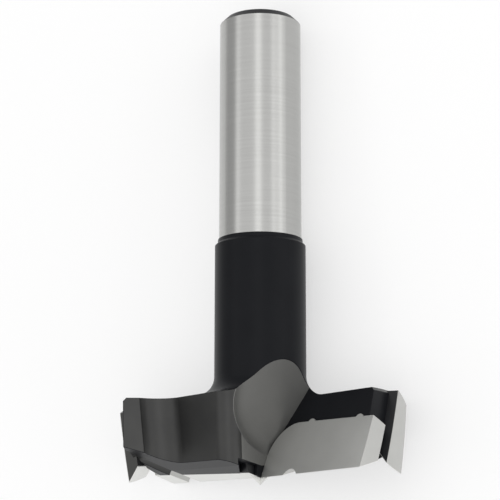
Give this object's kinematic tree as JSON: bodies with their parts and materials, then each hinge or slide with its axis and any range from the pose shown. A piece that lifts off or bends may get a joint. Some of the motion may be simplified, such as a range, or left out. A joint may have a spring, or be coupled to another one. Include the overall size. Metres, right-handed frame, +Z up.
{
  "type": "forstner bit",
  "caption": "Two-wing boring bit for flat-bottomed hinge holes, with carbide cutting plates, carbide spurs, a low centre point and a short cylindrical shank.",
  "frame": {"origin": "on the surface that the bit lies on, under the middle of its bounding box", "axes": "+Z up, with the bit lying on its side as it rests; +Y runs from the cutting end towards the shank's end, whose axis falls 3.1 degrees towards that end; the bit is not upright"},
  "size_m": [0.035, 0.0576, 0.0159],
  "materials": {
    "steel_body": "hardened steel, black coated, with a ground bare shank and milled dark grey chip spaces",
    "carbide": "sintered tungsten carbide, fine ground"
  },
  "bodies": {
    "root": {"body": "steel_body", "cutter_a": "carbide", "cutter_b": "carbide", "spur_a": "carbide", "spur_b": "carbide"}
  },
  "joints": []
}
